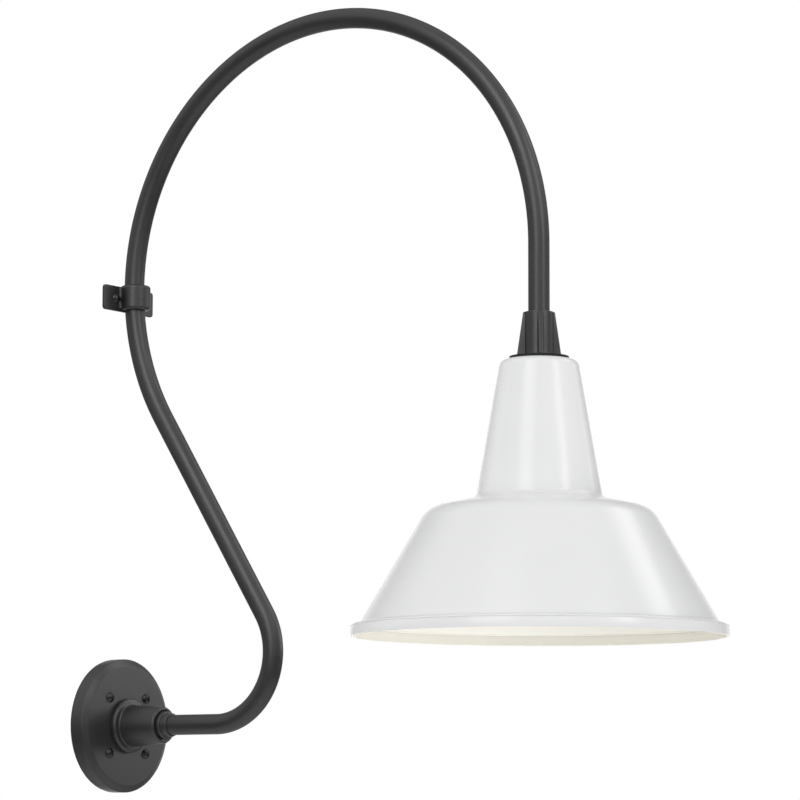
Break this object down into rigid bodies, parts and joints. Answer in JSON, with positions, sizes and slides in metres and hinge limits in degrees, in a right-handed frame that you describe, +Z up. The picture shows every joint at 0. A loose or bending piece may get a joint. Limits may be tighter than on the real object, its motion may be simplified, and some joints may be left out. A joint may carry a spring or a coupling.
{
  "type": "gooseneck barn light",
  "caption": "Wall light with a hooped gooseneck arm, a wall clamp and a deep conical metal shade over a screw bulb.",
  "frame": {"origin": "centre of the wall plate, on the wall plane", "axes": "+X out of the wall along the hub, +Z up, the arm lies in the plane Y = 0"},
  "size_m": [0.779, 0.396, 0.8678],
  "materials": {
    "powder_black": "satin black powder coat",
    "screw_black": "black oxide, semi gloss",
    "enamel_white": "gloss white outside, warm white inside",
    "foam_black": "matte foam",
    "rubber_black": "matte rubber",
    "zinc_steel": "zinc plated",
    "green_screw": "green plated earth screw",
    "porcelain": "glazed",
    "brass": "plain",
    "nickel": "nickel plated",
    "bulb_plastic": "satin white",
    "opal_plastic": "opal, frosted",
    "board_white": "white solder mask",
    "bulb_glass_black": "black glass"
  },
  "bodies": {
    "light": {"wall_gasket": "foam_black", "mounting_bracket": "zinc_steel", "earth_screw": "green_screw", "wall_plate": "powder_black", "plate_screws": "screw_black", "hub": "powder_black", "hub_locknut": "zinc_steel", "hub_set_screw": "screw_black", "arm_collar": "powder_black", "gooseneck_tube": "powder_black", "clamp_strap": "powder_black", "clamp_saddle": "powder_black", "clamp_screws": "screw_black", "shade_holder": "powder_black", "holder_set_screw": "screw_black", "shade_gasket": "rubber_black", "shade_top": "enamel_white", "shade_neck": "enamel_white", "shade_shoulder": "enamel_white", "shade_skirt": "enamel_white", "shade_rim": "enamel_white", "shade_washer": "zinc_steel", "nipple": "zinc_steel", "nipple_nut": "zinc_steel", "socket_cap": "zinc_steel", "socket_body": "porcelain", "socket_terminals": "brass", "socket_shell": "brass", "socket_contact": "brass"},
    "bulb": {"bulb_housing": "bulb_plastic", "bulb_dome": "opal_plastic", "led_board": "board_white", "bulb_base": "nickel", "bulb_insulator": "bulb_glass_black", "bulb_contact": "nickel"}
  },
  "joints": [
    {"name": "bulb_unscrew", "type": "slide", "parent": "light", "child": "bulb", "axis": [0, 0, -1], "range_m": [0, 0.027]}
  ]
}
